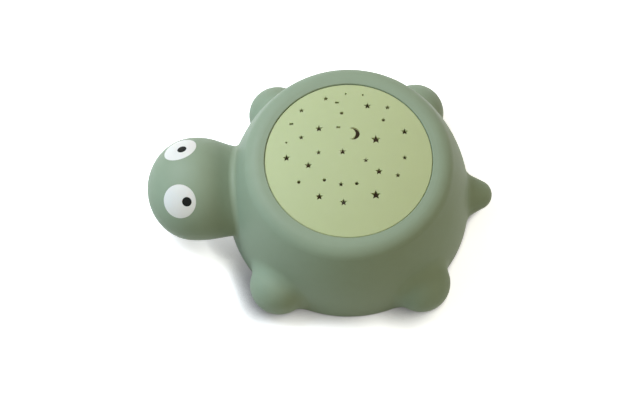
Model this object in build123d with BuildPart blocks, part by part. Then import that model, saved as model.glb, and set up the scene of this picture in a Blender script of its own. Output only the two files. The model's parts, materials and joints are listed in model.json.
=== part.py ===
from build123d import *
import os
from math import cos, radians, sin, sqrt, tan

# A turtle-shaped night light: a hollow moulded shell with a head, four feet and a tail, and a thin
# dome pierced with stars over a lamp. Millimetres. The floor is Z = 0, the head points to -X and the
# tail to +X, and X = 0 lies halfway between the tip of the head and the tip of the tail.

os.makedirs("parts", exist_ok=True)

# Shell, measured from the floor and from the shell's own upright axis
PAD_STAND = 1.2  # height at which the rubber pads hold the shell off the floor
SHELL_HEIGHT = 66.0
BASE_RADIUS = 71.0
SHOULDER_RADIUS = 57.4
WALL_BULGE = 4.5  # swell of the side wall's middle beyond a straight cone
LIP_ROUND = 9.5
LIP_CHAMFER = 0.4
BOTTOM_CHAMFER = 0.6  # lead-in for the base plate
WALL = 3.0
FORM_BELOW = 20.0  # depth below the floor to which the outside is drawn before it is cut flat

# Head, an ellipsoid that runs back through one smooth neck into the shell
HEAD_OUT = 18.5  # centre of the head beyond the foot of the wall
HEAD_HEIGHT = 28.5
HEAD_LENGTH = 27.8  # centre to tip
HEAD_HALF_WIDTH = 30.7
HEAD_HALF_HEIGHT = 26.5
HEAD_STEPS = 6  # sections from the tip to the widest place
NECK_BACK = 20.0  # narrowest place behind the head's centre
NECK_HALF_WIDTH = 27.9
NECK_HALF_HEIGHT = 20.5
NECK_HEIGHT = 25.5
NECK_HOLD = 0.75  # how much of the head is kept halfway to the narrowest place
NECK_ROOT = 44.0
NECK_TAPER = 1.0
NECK_BLEND = 3.0

# Eyes, inlaid flush with the head, with a pupil inlaid in each
EYE_RADIUS = 9.8
EYE_FORWARD = 8.2
EYE_SPREAD = 17.0
EYE_THICKNESS = 1.2
PUPIL_RADIUS = 2.7
PUPIL_THICKNESS = 0.6
PUPIL_BACK = {"left": 4.7, "right": 1.6}  # from the eye's middle towards the shell
PUPIL_INWARD = {"left": 0.0, "right": 2.0}  # from the eye's middle towards the crown
INLAY_FIT = 0.05

# Feet, balls cut flat underneath, with a rubber pad let into each
FOOT_RADIUS = 17.0
FOOT_HEIGHT = 11.6
FOOT_SET_IN = 2.4  # centre of a foot inside the foot of the wall
FOOT_ANGLE = 53.0  # from the head-to-tail line
FOOT_BLEND = 11.0
PAD_RADIUS = 6.0
PAD_INSET = 1.0
PAD_FIT = 0.1
PAD_RIM = 1.4  # wall between a pad's pocket and the base plate's seat

# Tail, a blunt cone with a round tip
TAIL_OUT = 13.7  # tip beyond the foot of the wall
TAIL_RADIUS = 8.8
TAIL_FLARE = 27.0  # slope of the tail's sides from its axis, in degrees
TAIL_ROOT = 8.0  # root inside the foot of the wall
TAIL_HEIGHT = 12.6
TAIL_BLEND = 7.0

# Dome and the seat for it inside the shell's lip
DOME_RADIUS = 47.9
DOME_RISE = 5.2
DOME_WALL = 2.0
DOME_RIM = 2.6
DOME_CHAMFER = 0.4
DOME_GAP = 0.2
SEAT_DEPTH = 3.2
SEAT_WIDTH = 3.0
SEAT_THICKNESS = 3.0
SKIRT_GAP = 0.3
SKIRT_WALL = 2.0
HOOK_ANGLES = (45, 135, 225, 315)
HOOK_SPAN = 16.0
HOOK_REACH = 1.2
HOOK_HEIGHT = 1.6
HOOK_GAP = 0.2

# Pattern of light holes, each placed from the middle in hundredths of the field inside the skirt
BIG_STAR = 2.9
MEDIUM_STAR = 2.2
SMALL_STAR = 1.6
STAR_WAIST = 0.48  # inner corners of a star, as a share of its points' radius
DOT = 1.0
SPARK = 0.6
DASH_LENGTH = 2.2
DASH_WIDTH = 1.2
MOON_RADIUS = 3.9
MOON_BITE = 3.4
MOON_SHIFT = 1.9
BIG_STARS = ((37, 25), (35, -55))
MEDIUM_STARS = (
    (40, -22), (-54, -11), (-8, 7), (27, 77), (-83, 2), (-39, 43), (76, 38), (-40, -56), (-8, -65),
)
SMALL_STARS = (
    (23, -6), (-40, 7), (-11, -40), (75, -1), (-63, 31), (54, 75), (-62, 73), (-29, 90), (65, -27),
)
DOTS = ((-67, -34), (-33, -33), (10, -39), (-8, 66), (48, 55))
SPARKS = ((21, 95), (-2, 97), (-83, 25))
DASHES = ((-14, 83), (-76, 53), (-13, 44))
MOON_PLACE = (6.5, 34)

# Base plate let into the underside, with the battery bay moulded on it
RIM_WIDTH = 5.7  # shell's bottom rim outside the base plate
PLATE_GAP = 0.3
PLATE_THICKNESS = 3.0
LEDGE_WIDTH = 4.3
LEDGE_THICKNESS = 2.6
BAY_WALL = 1.8
BAY_ROUND = 2.0

# Screws that hold the base plate in bosses in the shell
SCREW_ANGLES = (30, 150, 210, 330)
SCREW_INSET = 7.3  # from the base plate's seat in to the screws' circle
SCREW_RADIUS = 1.45
SCREW_LENGTH = 11.0
SCREW_HEAD_RADIUS = 2.8
SCREW_HEAD_HEIGHT = 1.6
SCREW_SINK = 2.0
HEAD_ROOM = 0.4
THREAD_FIT = 0.05
SHANK_ROOM = 0.15
BOSS_RADIUS = 4.5
BOSS_HEIGHT = 12.0
BOSS_END = 1.5
RIB_WIDTH = 2.0
RIB_STEP = 3.0

# Three cells side by side, with stamped contacts at both ends of the bay
CELL_RADIUS = 5.25
CELL_LENGTH = 44.5
NUB_RADIUS = 1.9
NUB_HEIGHT = 1.0
CELL_GAP = 0.3
CELL_COUNT = 3
CONTACT_THICKNESS = 0.4
CONTACT_TOUCH = 0.1
CONTACT_WIDTH = 8.0
CONTACT_HEIGHT = 8.0
SPRING_ROOM = 5.5
SPRING_WIDTH = 4.0
SPRING_CREST = 1.2
TAB_WIDTH = 3.0
TAB_RISE = 3.0
TAB_GAP = 0.2

# Battery door, hinged at one end and held by a captive screw at the other
DOOR_THICKNESS = 1.8
DOOR_LAP = 2.4
DOOR_GAP = 0.3
HINGE_RADIUS = 2.0
HINGE_LENGTH = 30.0
HINGE_ROOM = 0.4
HINGE_OUT = 0.4  # room between the bay's wall and the barrel's slot
PIN_RADIUS = 1.0
PIN_LENGTH = 3.0
PIN_FIT = 0.05
EAR_WIDTH = 4.2
EAR_WALL = 1.8
SWING_ROOM = 1.6  # from the barrel to the wide part of the door
SWING_GAP = 0.8  # behind the wide part, whose edge swings back as the door opens
TONGUE_HALF_WIDTH = 6.0
TONGUE_REACH = 5.0
TONGUE_GAP = 0.2
DOOR_SCREW_RADIUS = 1.3
DOOR_SCREW_HEAD = 2.5
DOOR_SCREW_HEAD_HEIGHT = 1.3
DOOR_SCREW_SINK = 1.6
DOOR_SCREW_REACH = 5.0
DOOR_SCREW_ROOM = 0.45
DOOR_BOSS_HEIGHT = 7.0

# Slide switch under the main board, with its knob sunk in the underside
SWITCH_OUT = 19.5  # from the battery bay to the knob's line
SWITCH_TRAVEL = 4.0
KNOB_WIDTH = 7.0
KNOB_LENGTH = 6.0
KNOB_THICKNESS = 0.7
KNOB_SINK = 1.4
KNOB_GAP = 0.2
KNOB_ROOM = 0.5
RIDGE_COUNT = 3
RIDGE_PITCH = 1.8
RIDGE_WIDTH = 0.8
STEM_WIDTH = 3.0
STEM_LENGTH = 3.0
STEM_REACH = 1.6
STEM_ROOM = 0.2
CAN_WIDTH = 6.6
CAN_LENGTH = 12.7
CAN_HEIGHT = 4.0
CAN_GAP = 0.1
BOARD_LENGTH = 25.0
BOARD_WIDTH = 28.0
BOARD_THICKNESS = 1.6
BOARD_EDGE = 3.5  # from the board's side to the middle of its screws
POST_RADIUS = 2.8
BOARD_SCREW_RADIUS = 1.0
BOARD_SCREW_HEAD = 1.9
BOARD_SCREW_HEAD_HEIGHT = 1.2
BOARD_SCREW_LENGTH = 3.4
CHIP_LENGTH = 5.0
CHIP_WIDTH = 4.0
CHIP_HEIGHT = 1.5
CHIP_OUT = 6.0

# Lamp on its own round board, under a hood that opens towards the dome
LAMP_BOARD_RADIUS = 13.0
LAMP_RADIUS = 2.5
LAMP_FLANGE = 0.4
LAMP_FLANGE_HEIGHT = 1.0
LAMP_HEIGHT = 6.0
HOOD_THROAT = 10.5
HOOD_FOOT = 17.0
HOOD_FOOT_HEIGHT = 3.6
HOOD_WALL = 1.4
HOOD_GAP = 0.3
LUG_OUT = 3.5  # from the hood's foot to the middle of a screw lug
LUG_RADIUS = 3.2
LUG_THICKNESS = 2.0
LUG_SCREW_REACH = 1.4

# Insulated wires
WIRE_RADIUS = 0.6
WIRE_BEND = 3.0
WIRE_PITCH = 3.0
WIRE_NOTCH = 7.0
WIRE_LIFT = 0.02  # keeps a round wire just off the flat board that it lies on

# Places that follow from the sizes above
head_reach = BASE_RADIUS + HEAD_OUT + HEAD_LENGTH
tail_reach = BASE_RADIUS + TAIL_OUT
axis_x = (head_reach - tail_reach) / 2
head_x = axis_x - BASE_RADIUS - HEAD_OUT
bottom_z = PAD_STAND
plate_top = bottom_z + PLATE_THICKNESS
plate_seat_radius = BASE_RADIUS - RIM_WIDTH
ledge_radius = plate_seat_radius - LEDGE_WIDTH
ledge_top = plate_top + LEDGE_THICKNESS
seat_z = SHELL_HEIGHT - SEAT_DEPTH
seat_under = seat_z - SEAT_THICKNESS
seat_radius = DOME_RADIUS - SEAT_WIDTH
screw_circle = plate_seat_radius - SCREW_INSET
foot_circle = BASE_RADIUS - FOOT_SET_IN
pad_circle = plate_seat_radius + PAD_RIM + PAD_FIT + PAD_RADIUS
foot_angles = (FOOT_ANGLE, 180 - FOOT_ANGLE, 180 + FOOT_ANGLE, 360 - FOOT_ANGLE)

rim_top = seat_z + DOME_RIM
dome_top = rim_top + DOME_RISE
dome_sphere = (DOME_RADIUS**2 + DOME_RISE**2) / (2 * DOME_RISE)
skirt_outer = seat_radius - SKIRT_GAP
skirt_inner = skirt_outer - SKIRT_WALL
hook_top = seat_under - HOOK_GAP
skirt_bottom = hook_top - HOOK_HEIGHT

cell_pitch = 2 * (CELL_RADIUS + CELL_GAP)
bay_half_width = CELL_COUNT * cell_pitch / 2
bay_half_length = (CELL_LENGTH + SPRING_ROOM + CONTACT_TOUCH) / 2 + CONTACT_THICKNESS
cell_z = bottom_z + DOOR_THICKNESS + CELL_GAP + CELL_RADIUS
bay_ceiling = cell_z + CELL_RADIUS + CELL_GAP
bay_top = bay_ceiling + BAY_WALL

hinge_y = bay_half_length + BAY_WALL + HINGE_OUT + HINGE_ROOM + HINGE_RADIUS
hinge_z = bottom_z + HINGE_RADIUS
door_half_width = bay_half_width + DOOR_LAP
door_front = -bay_half_length - DOOR_LAP
door_back = hinge_y - HINGE_RADIUS - SWING_ROOM
tongue_y = door_front - TONGUE_REACH
door_screw_seat = bottom_z + DOOR_SCREW_SINK

switch_x = -bay_half_width - BAY_WALL - SWITCH_OUT
knob_y = -SWITCH_TRAVEL / 2
knob_top = bottom_z + KNOB_SINK - KNOB_GAP
stem_top = plate_top + STEM_REACH
slot_length = STEM_LENGTH + SWITCH_TRAVEL + 2 * STEM_ROOM
slot_width = STEM_WIDTH + 2 * STEM_ROOM
board_bottom = plate_top + CAN_GAP + CAN_HEIGHT
board_top = board_bottom + BOARD_THICKNESS
board_screw_spread = BOARD_WIDTH - 2 * BOARD_EDGE
lamp_board_top = bay_top + BOARD_THICKNESS
hood_top = skirt_bottom - HOOD_GAP
lug_y = HOOD_FOOT + LUG_OUT

TURNED_OVER = Rot(180, 0, 0)
shell_axis = Axis((axis_x, 0, 0), (0, 0, 1))
wall_arc = ThreePointArc(
    (BASE_RADIUS, bottom_z),
    ((BASE_RADIUS + SHOULDER_RADIUS) / 2 + WALL_BULGE, (SHELL_HEIGHT + bottom_z) / 2),
    (SHOULDER_RADIUS, SHELL_HEIGHT),
)


def level(height):
    """Horizontal plane at a height, centred on the shell's axis."""
    return Plane((axis_x, 0, height))


def upright(angle=0):
    """Plane through the shell's axis: local x is the distance from the axis, local y the height."""
    turn = radians(angle)
    return Plane((axis_x, 0, 0), x_dir=(cos(turn), sin(turn), 0), z_dir=(sin(turn), -cos(turn), 0))


def polar(radius, angle):
    """Point on a circle round the shell's axis, in a level plane."""
    return (radius * cos(radians(angle)), radius * sin(radians(angle)))


def wall_radius(height, inset=0):
    """Distance from the axis to the side wall at a height, or to a surface set in from it."""
    centre = wall_arc.arc_center
    return centre.X + sqrt((wall_arc.radius - inset) ** 2 - (height - centre.Y) ** 2)


def head_form(inset=0):
    """The head and neck lofted from tip to root, or the same form set in by an even wall."""
    length = HEAD_LENGTH - inset
    head = Vector(HEAD_HALF_WIDTH - inset, HEAD_HALF_HEIGHT - inset)
    neck = Vector(NECK_HALF_WIDTH - inset, NECK_HALF_HEIGHT - inset)
    taper = Vector(NECK_TAPER, NECK_TAPER)
    turns = [radians(90 * step / HEAD_STEPS) for step in range(1, HEAD_STEPS + 1)]
    sections = [(-length * cos(turn), HEAD_HEIGHT, head * sin(turn)) for turn in turns]
    sections += [
        (
            NECK_BACK / 2,
            NECK_HEIGHT + (HEAD_HEIGHT - NECK_HEIGHT) * NECK_HOLD,
            neck + (head - neck) * NECK_HOLD,
        ),
        (NECK_BACK, NECK_HEIGHT, neck),
        ((NECK_BACK + NECK_ROOT) / 2, NECK_HEIGHT, neck - taper / 2),
        (NECK_ROOT, NECK_HEIGHT, neck - taper),
    ]
    with BuildPart() as form:
        for x, height, half in sections:
            with BuildSketch(Plane((head_x + x, 0, height), x_dir=(0, 1, 0), z_dir=(1, 0, 0))):
                Ellipse(half.X, half.Y)
        loft([Vertex(head_x - length, 0, HEAD_HEIGHT), *form.pending_faces])
    return form.part


def foot_form(radius, floor):
    """A ball foot about its own upright axis, cut flat at a height, with its seam turned to the shell."""
    with BuildPart() as form:
        with BuildSketch(Plane.XZ):
            with Locations((0, FOOT_HEIGHT)):
                Circle(radius)
            with Locations((0, floor)):
                Rectangle(radius, 2 * radius, align=(Align.MAX, Align.MIN), mode=Mode.INTERSECT)
        revolve(axis=Axis.Z)
    return form.part


def tail_form():
    """The tail, round about a level axis, with its root inside the shell."""
    root = BASE_RADIUS - TAIL_ROOT
    with BuildPart() as form:
        with BuildSketch(Plane((axis_x, 0, TAIL_HEIGHT), x_dir=(1, 0, 0), z_dir=(0, -1, 0))):
            with BuildLine():
                tip = CenterArc((tail_reach - TAIL_RADIUS, 0), TAIL_RADIUS, 0, 90 - TAIL_FLARE)
                shoulder = tip @ 1
                root_radius = shoulder.Y + (shoulder.X - root) * tan(radians(TAIL_FLARE))
                Polyline(shoulder, (root, root_radius), (root, 0), tip @ 0)
            make_face()
        revolve(axis=Axis((axis_x, 0, TAIL_HEIGHT), (1, 0, 0)))
    return form.part


def eye_plane(side):
    """Plane that touches the head at an eye's middle; local x runs back towards the shell."""
    sign = {"left": -1, "right": 1}[side]
    flat = (EYE_FORWARD / HEAD_LENGTH) ** 2 + (EYE_SPREAD / HEAD_HALF_WIDTH) ** 2
    x, y, z = -EYE_FORWARD, sign * EYE_SPREAD, HEAD_HALF_HEIGHT * sqrt(1 - flat)
    normal = Vector(x / HEAD_LENGTH**2, y / HEAD_HALF_WIDTH**2, z / HEAD_HALF_HEIGHT**2).normalized()
    back = Vector(1, 0, 0) - normal * normal.X
    return Plane((head_x + x, y, HEAD_HEIGHT + z), x_dir=back, z_dir=normal)


def pupil_place(side):
    """Middle of a pupil in its eye's plane."""
    sign = {"left": 1, "right": -1}[side]
    return (PUPIL_BACK[side], sign * PUPIL_INWARD[side])


def inlay_form(side, place, radius, thickness):
    """A round inlay of even thickness, flush with the head's outside."""
    with BuildPart() as form:
        with BuildSketch(eye_plane(side).offset(-EYE_RADIUS)):
            with Locations(place):
                Circle(radius)
        extrude(amount=2 * EYE_RADIUS)
        add(head_outside, mode=Mode.INTERSECT)
        add(head_form(thickness), mode=Mode.SUBTRACT)
    return form.part


def screw_form(head_radius, head_height, radius, length):
    """A pan-head screw that points up, with the seat of its head at the origin."""
    with BuildPart() as form:
        with BuildSketch(Plane.XY):
            Circle(head_radius)
        extrude(amount=-head_height)
        chamfer(form.edges().group_by(Axis.Z)[0], head_height / 3)
        with BuildSketch(Plane.XY):
            Circle(radius)
        extrude(amount=length)
        chamfer(form.edges().group_by(Axis.Z)[-1], radius / 3)
    return form.part


def small_screw_form(length):
    """The screw used inside the light, with the seat of its head at the origin."""
    return screw_form(BOARD_SCREW_HEAD, BOARD_SCREW_HEAD_HEIGHT, BOARD_SCREW_RADIUS, length)


def wire_form(points):
    """A wire of straight runs and bends, given from the shell's axis and the floor."""
    with BuildPart() as form:
        with BuildLine(Plane((axis_x, 0, 0))) as route:
            FilletPolyline(*points, radius=WIRE_BEND)
        with BuildSketch(Plane(route.wire() @ 0, z_dir=route.wire() % 0)):
            Circle(WIRE_RADIUS)
        sweep(path=route.wire())
    return form.part


head_outside = head_form()
screw_places = [Pos(*polar(screw_circle, angle)) for angle in SCREW_ANGLES]
foot_places = [level(0) * Rot(0, 0, angle) * Pos(foot_circle, 0) for angle in foot_angles]

# Shell: lidded cone with the head, tail and feet blended on, cut flat underneath and then hollowed
with BuildPart() as shell:
    with BuildSketch(upright()):
        with BuildLine():
            middle = (SHELL_HEIGHT - FORM_BELOW) / 2
            outer_wall = ThreePointArc(
                (wall_radius(-FORM_BELOW), -FORM_BELOW),
                (wall_radius(middle), middle),
                (SHOULDER_RADIUS, SHELL_HEIGHT),
            )
            Polyline(outer_wall @ 1, (0, SHELL_HEIGHT), (0, -FORM_BELOW), outer_wall @ 0)
        make_face()
    revolve(axis=shell_axis)
    fillet(shell.edges().group_by(Axis.Z)[-1], LIP_ROUND)
    add(head_outside)
    fillet(shell.edges(Select.NEW).filter_by(GeomType.BSPLINE), NECK_BLEND)
    add(tail_form())
    fillet(shell.edges(Select.NEW).filter_by(GeomType.BSPLINE), TAIL_BLEND)
    with Locations(*foot_places):
        add(foot_form(FOOT_RADIUS, FOOT_HEIGHT - FOOT_RADIUS))
    fillet(shell.edges(Select.NEW).filter_by(GeomType.BSPLINE), FOOT_BLEND)
    split(bisect_by=level(bottom_z))

    # Inside of the shell, the seat of the dome and the seat of the base plate, in one profile
    with BuildSketch(upright()):
        with BuildLine():
            middle = (ledge_top + seat_under) / 2
            inner_wall = ThreePointArc(
                (wall_radius(ledge_top, WALL), ledge_top),
                (wall_radius(middle, WALL), middle),
                (wall_radius(seat_under, WALL), seat_under),
            )
            Polyline(
                inner_wall @ 1,
                (seat_radius, seat_under),
                (seat_radius, seat_z),
                (DOME_RADIUS + DOME_GAP, seat_z),
                (DOME_RADIUS + DOME_GAP, SHELL_HEIGHT - LIP_CHAMFER),
                (DOME_RADIUS + DOME_GAP + LIP_CHAMFER, SHELL_HEIGHT),
                (0, SHELL_HEIGHT),
                (0, bottom_z),
                (plate_seat_radius + BOTTOM_CHAMFER, bottom_z),
                (plate_seat_radius, bottom_z + BOTTOM_CHAMFER),
                (plate_seat_radius, plate_top),
                (ledge_radius, plate_top),
                (ledge_radius, ledge_top),
                inner_wall @ 0,
            )
        make_face()
    revolve(axis=shell_axis, mode=Mode.SUBTRACT)
    add(head_form(WALL), mode=Mode.SUBTRACT)
    with Locations(*foot_places):
        add(foot_form(FOOT_RADIUS - WALL, ledge_top), mode=Mode.SUBTRACT)

    # Screw bosses for the base plate, each tied to the side wall by a rib
    with BuildSketch(level(plate_top)):
        with Locations(*[polar(screw_circle, angle) for angle in SCREW_ANGLES]):
            Circle(BOSS_RADIUS)
    extrude(amount=BOSS_HEIGHT)
    rib_top = plate_top + BOSS_HEIGHT - RIB_STEP
    rib_length = wall_radius(rib_top, WALL / 2) - screw_circle
    with BuildSketch(level(plate_top)):
        for angle in SCREW_ANGLES:
            with PolarLocations(screw_circle, 1, start_angle=angle):
                Rectangle(rib_length, RIB_WIDTH, align=(Align.MIN, Align.CENTER))
    extrude(amount=BOSS_HEIGHT - RIB_STEP)
    with BuildSketch(level(plate_top)):
        with Locations(*[polar(screw_circle, angle) for angle in SCREW_ANGLES]):
            Circle(SCREW_RADIUS + THREAD_FIT)
    extrude(amount=BOSS_HEIGHT - BOSS_END, mode=Mode.SUBTRACT)

    # Pockets for the foot pads and for the eyes
    with BuildSketch(level(bottom_z)):
        with Locations(*[polar(pad_circle, angle) for angle in foot_angles]):
            Circle(PAD_RADIUS + PAD_FIT)
    extrude(amount=PAD_INSET, mode=Mode.SUBTRACT)
    for side in ("left", "right"):
        add(
            inlay_form(side, (0, 0), EYE_RADIUS + INLAY_FIT, EYE_THICKNESS + INLAY_FIT),
            mode=Mode.SUBTRACT,
        )
shell.part.label = "shell"
export_step(shell.part, "parts/shell.step")

# Eyes and pupils
for side in ("left", "right"):
    with BuildPart() as eye:
        add(inlay_form(side, (0, 0), EYE_RADIUS, EYE_THICKNESS))
        add(
            inlay_form(side, pupil_place(side), PUPIL_RADIUS + INLAY_FIT, PUPIL_THICKNESS + INLAY_FIT),
            mode=Mode.SUBTRACT,
        )
    eye.part.label = f"eye_{side}"
    export_step(eye.part, f"parts/eye_{side}.step")

    with BuildPart() as pupil:
        add(inlay_form(side, pupil_place(side), PUPIL_RADIUS, PUPIL_THICKNESS))
    pupil.part.label = f"pupil_{side}"
    export_step(pupil.part, f"parts/pupil_{side}.step")

# Rubber foot pads, let into the feet, which carry the light on the floor
with BuildPart() as foot_pads:
    with BuildSketch(level(0)):
        with Locations(*[polar(pad_circle, angle) for angle in foot_angles]):
            Circle(PAD_RADIUS)
    extrude(amount=PAD_STAND + PAD_INSET)
foot_pads.part.label = "foot_pads"
export_step(foot_pads.part, "parts/foot_pads.step")


def star(radius):
    """A five-pointed star hole in the current sketch."""
    corners = [
        polar(radius if point % 2 == 0 else radius * STAR_WAIST, 90 + 36 * point) for point in range(10)
    ]
    Polygon(*corners, align=None)


def field(*places):
    """Places of light holes on the dome, from hundredths of the field inside the skirt."""
    return [(skirt_inner * x / 100, skirt_inner * y / 100) for x, y in places]


def cap_point(radius, sphere):
    """Point of the dome's profile at a distance from the axis, on its outer or its inner sphere."""
    return (radius, dome_top - dome_sphere + sqrt(sphere**2 - radius**2))


# Dome: a thin cap pierced with the light holes, on a skirt that snaps under the shell's seat
with BuildPart() as star_dome:
    with BuildSketch(upright()) as dome_profile:
        with BuildLine():
            outside = ThreePointArc(*[cap_point(DOME_RADIUS * share, dome_sphere) for share in (0, 0.5, 1)])
            underside = ThreePointArc(
                *[cap_point(skirt_inner * share, dome_sphere - DOME_WALL) for share in (0, 0.5, 1)]
            )
            Polyline(
                outside @ 1,
                (DOME_RADIUS, seat_z),
                (skirt_outer, seat_z),
                (skirt_outer, skirt_bottom),
                (skirt_inner, skirt_bottom),
                underside @ 1,
            )
            Line(underside @ 0, outside @ 0)
        make_face()
        chamfer(dome_profile.vertices().sort_by(Axis.X)[-2:].sort_by(Axis.Y)[-1], DOME_CHAMFER)
    revolve(axis=shell_axis)
    for angle in HOOK_ANGLES:
        with BuildSketch(upright(angle - HOOK_SPAN / 2)):
            with BuildLine():
                Polyline(
                    (skirt_outer, hook_top),
                    (skirt_outer + HOOK_REACH, hook_top),
                    (skirt_outer, skirt_bottom),
                    (skirt_inner, skirt_bottom),
                    (skirt_inner, hook_top),
                    close=True,
                )
            make_face()
        revolve(axis=shell_axis, revolution_arc=HOOK_SPAN)
    with BuildSketch(level(seat_z)):
        for places, size in ((BIG_STARS, BIG_STAR), (MEDIUM_STARS, MEDIUM_STAR), (SMALL_STARS, SMALL_STAR)):
            with Locations(*field(*places)):
                star(size)
        with Locations(*field(*DOTS)):
            Circle(DOT)
        with Locations(*field(*SPARKS)):
            Circle(SPARK)
        with Locations(*field(*DASHES)):
            Rectangle(DASH_LENGTH, DASH_WIDTH)
    extrude(amount=dome_top - seat_z, mode=Mode.SUBTRACT)
    with BuildSketch(level(seat_z)):
        with Locations(*field(MOON_PLACE)):
            Circle(MOON_RADIUS)
            with Locations((-MOON_SHIFT, 0)):
                Circle(MOON_BITE, mode=Mode.SUBTRACT)
    extrude(amount=dome_top - seat_z, mode=Mode.SUBTRACT)
star_dome.part.label = "star_dome"
export_step(star_dome.part, "parts/star_dome.step")


def door_sketch(gap=0, swing=0):
    """The door's outline in the current sketch without its barrel: the plate and the strip to the hinge."""
    with Locations((0, (door_front - gap + door_back + swing) / 2)):
        Rectangle(2 * (door_half_width + gap), door_back + swing - door_front + gap)
    with Locations((0, (door_back + hinge_y) / 2)):
        Rectangle(HINGE_LENGTH + 2 * gap, hinge_y - door_back + 2 * gap)


def tongue_sketch(gap):
    """The outline of the door's screw tongue in the current sketch."""
    with Locations((0, (tongue_y + door_front) / 2)):
        Rectangle(2 * (TONGUE_HALF_WIDTH + gap), door_front - tongue_y)
    with Locations((0, tongue_y)):
        Circle(TONGUE_HALF_WIDTH + gap)


# Base plate with the battery bay, the door's seat and hinge ears, and the posts of the main board
with BuildPart() as base_plate:
    with BuildSketch(level(bottom_z)):
        Circle(plate_seat_radius - PLATE_GAP)
    extrude(amount=PLATE_THICKNESS)
    with BuildSketch(level(plate_top)):
        RectangleRounded(2 * (bay_half_width + BAY_WALL), 2 * (bay_half_length + BAY_WALL), BAY_ROUND)
    extrude(amount=bay_top - plate_top)
    fillet(base_plate.edges().group_by(Axis.Z)[-1], BAY_WALL / 2)
    with BuildSketch(level(plate_top)):
        tongue_sketch(DOOR_GAP + BAY_WALL)
    extrude(amount=BAY_WALL)
    with BuildSketch(level(plate_top)):
        with Locations((0, tongue_y)):
            Circle(DOOR_SCREW_RADIUS + DOOR_SCREW_ROOM + BAY_WALL)
    extrude(amount=DOOR_BOSS_HEIGHT)
    with BuildSketch(level(plate_top)):
        with Locations((0, hinge_y)):
            Rectangle(
                HINGE_LENGTH + 2 * (HINGE_ROOM + EAR_WIDTH), 2 * (PIN_RADIUS + PIN_FIT + EAR_WALL)
            )
    extrude(amount=hinge_z + PIN_RADIUS + PIN_FIT + EAR_WALL - plate_top)
    with BuildSketch(level(plate_top)):
        with Locations((switch_x, 0)):
            with GridLocations(0, board_screw_spread, 1, 2):
                Circle(POST_RADIUS)
    extrude(amount=board_bottom - plate_top)

    # Bay, door seat, hinge slot and tongue pocket
    with BuildSketch(level(bottom_z)):
        Rectangle(2 * bay_half_width, 2 * bay_half_length)
    extrude(amount=bay_ceiling - bottom_z, mode=Mode.SUBTRACT)
    with BuildSketch(level(bottom_z)):
        door_sketch(DOOR_GAP, SWING_GAP)
    extrude(amount=DOOR_THICKNESS, mode=Mode.SUBTRACT)
    with BuildSketch(level(bottom_z)):
        tongue_sketch(DOOR_GAP)
    extrude(amount=PLATE_THICKNESS, mode=Mode.SUBTRACT)
    with BuildSketch(level(bottom_z)):
        with Locations((0, hinge_y)):
            Rectangle(HINGE_LENGTH + 2 * HINGE_ROOM, 2 * (HINGE_RADIUS + HINGE_ROOM))
    extrude(amount=bay_top, mode=Mode.SUBTRACT)
    pin_line = Plane((axis_x, hinge_y, hinge_z), x_dir=(0, 1, 0), z_dir=(1, 0, 0))
    with BuildSketch(pin_line):
        Circle(PIN_RADIUS + PIN_FIT)
    extrude(amount=HINGE_LENGTH / 2 + PIN_LENGTH + HINGE_ROOM, both=True, mode=Mode.SUBTRACT)
    with BuildSketch(level(plate_top)):
        with Locations((0, tongue_y)):
            Circle(DOOR_SCREW_RADIUS + DOOR_SCREW_ROOM)
    extrude(amount=DOOR_BOSS_HEIGHT - BAY_WALL, mode=Mode.SUBTRACT)

    # Slots in the bay's roof for the contacts' solder tabs
    with BuildSketch(level(bay_ceiling)):
        for end in (-1, 1):
            with Locations((end * cell_pitch, end * (bay_half_length - CONTACT_THICKNESS / 2))):
                Rectangle(TAB_WIDTH + 2 * TAB_GAP, CONTACT_THICKNESS + 2 * TAB_GAP)
    extrude(amount=BAY_WALL, mode=Mode.SUBTRACT)

    # Sunk seat and slot of the switch knob
    with BuildSketch(level(bottom_z)):
        with Locations((switch_x, 0)):
            RectangleRounded(
                KNOB_WIDTH + 2 * KNOB_ROOM, KNOB_LENGTH + SWITCH_TRAVEL + 2 * KNOB_ROOM, KNOB_ROOM
            )
    extrude(amount=KNOB_SINK, mode=Mode.SUBTRACT)
    with BuildSketch(level(bottom_z)):
        with Locations((switch_x, 0)):
            Rectangle(slot_width, slot_length)
    extrude(amount=PLATE_THICKNESS, mode=Mode.SUBTRACT)

    # Screw holes: the base plate's own, the board's and the hood's
    with Locations(*[level(bottom_z) * place * TURNED_OVER for place in screw_places]):
        CounterBoreHole(
            SCREW_RADIUS + SHANK_ROOM, SCREW_HEAD_RADIUS + HEAD_ROOM, SCREW_SINK, PLATE_THICKNESS
        )
    with BuildSketch(level(board_bottom)):
        with Locations((switch_x, 0)):
            with GridLocations(0, board_screw_spread, 1, 2):
                Circle(BOARD_SCREW_RADIUS + THREAD_FIT)
    extrude(amount=plate_top - board_bottom, mode=Mode.SUBTRACT)
    with BuildSketch(level(bay_top)):
        with GridLocations(0, 2 * lug_y, 1, 2):
            Circle(BOARD_SCREW_RADIUS + THREAD_FIT)
    extrude(amount=-LUG_SCREW_REACH, mode=Mode.SUBTRACT)
base_plate.part.label = "base_plate"
export_step(base_plate.part, "parts/base_plate.step")

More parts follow.
